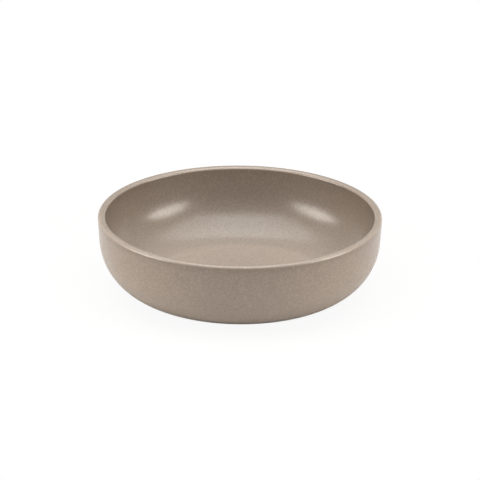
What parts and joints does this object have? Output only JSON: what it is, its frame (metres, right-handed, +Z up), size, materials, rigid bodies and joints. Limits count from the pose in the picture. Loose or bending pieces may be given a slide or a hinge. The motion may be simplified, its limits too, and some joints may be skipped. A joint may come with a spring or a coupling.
{
  "type": "bowl",
  "caption": "Low, wide round stoneware bowl with an almost upright wall, a thick rounded rim, one large round corner into a flat floor, and a small bare foot ring.",
  "frame": {"origin": "on the bowl's axis, at the height of the surface that the foot ring stands on", "axes": "+Z up along the bowl's axis of symmetry, out of the open side; +X and +Y level"},
  "size_m": [0.18, 0.18, 0.052],
  "materials": {
    "bare_stoneware": "fired and bare, fine sandy grain, matte",
    "inside_glaze": "satin taupe glaze with a very fine mottle, paler on the floor and darker towards the rim",
    "outside_glaze": "satin taupe glaze with a very fine mottle",
    "underside_glaze": "satin taupe glaze, a little darker than on the wall"
  },
  "bodies": {
    "root": {"stoneware_body": "bare_stoneware", "inside_glaze": "inside_glaze", "outside_glaze": "outside_glaze", "underside_glaze": "underside_glaze"}
  },
  "joints": []
}
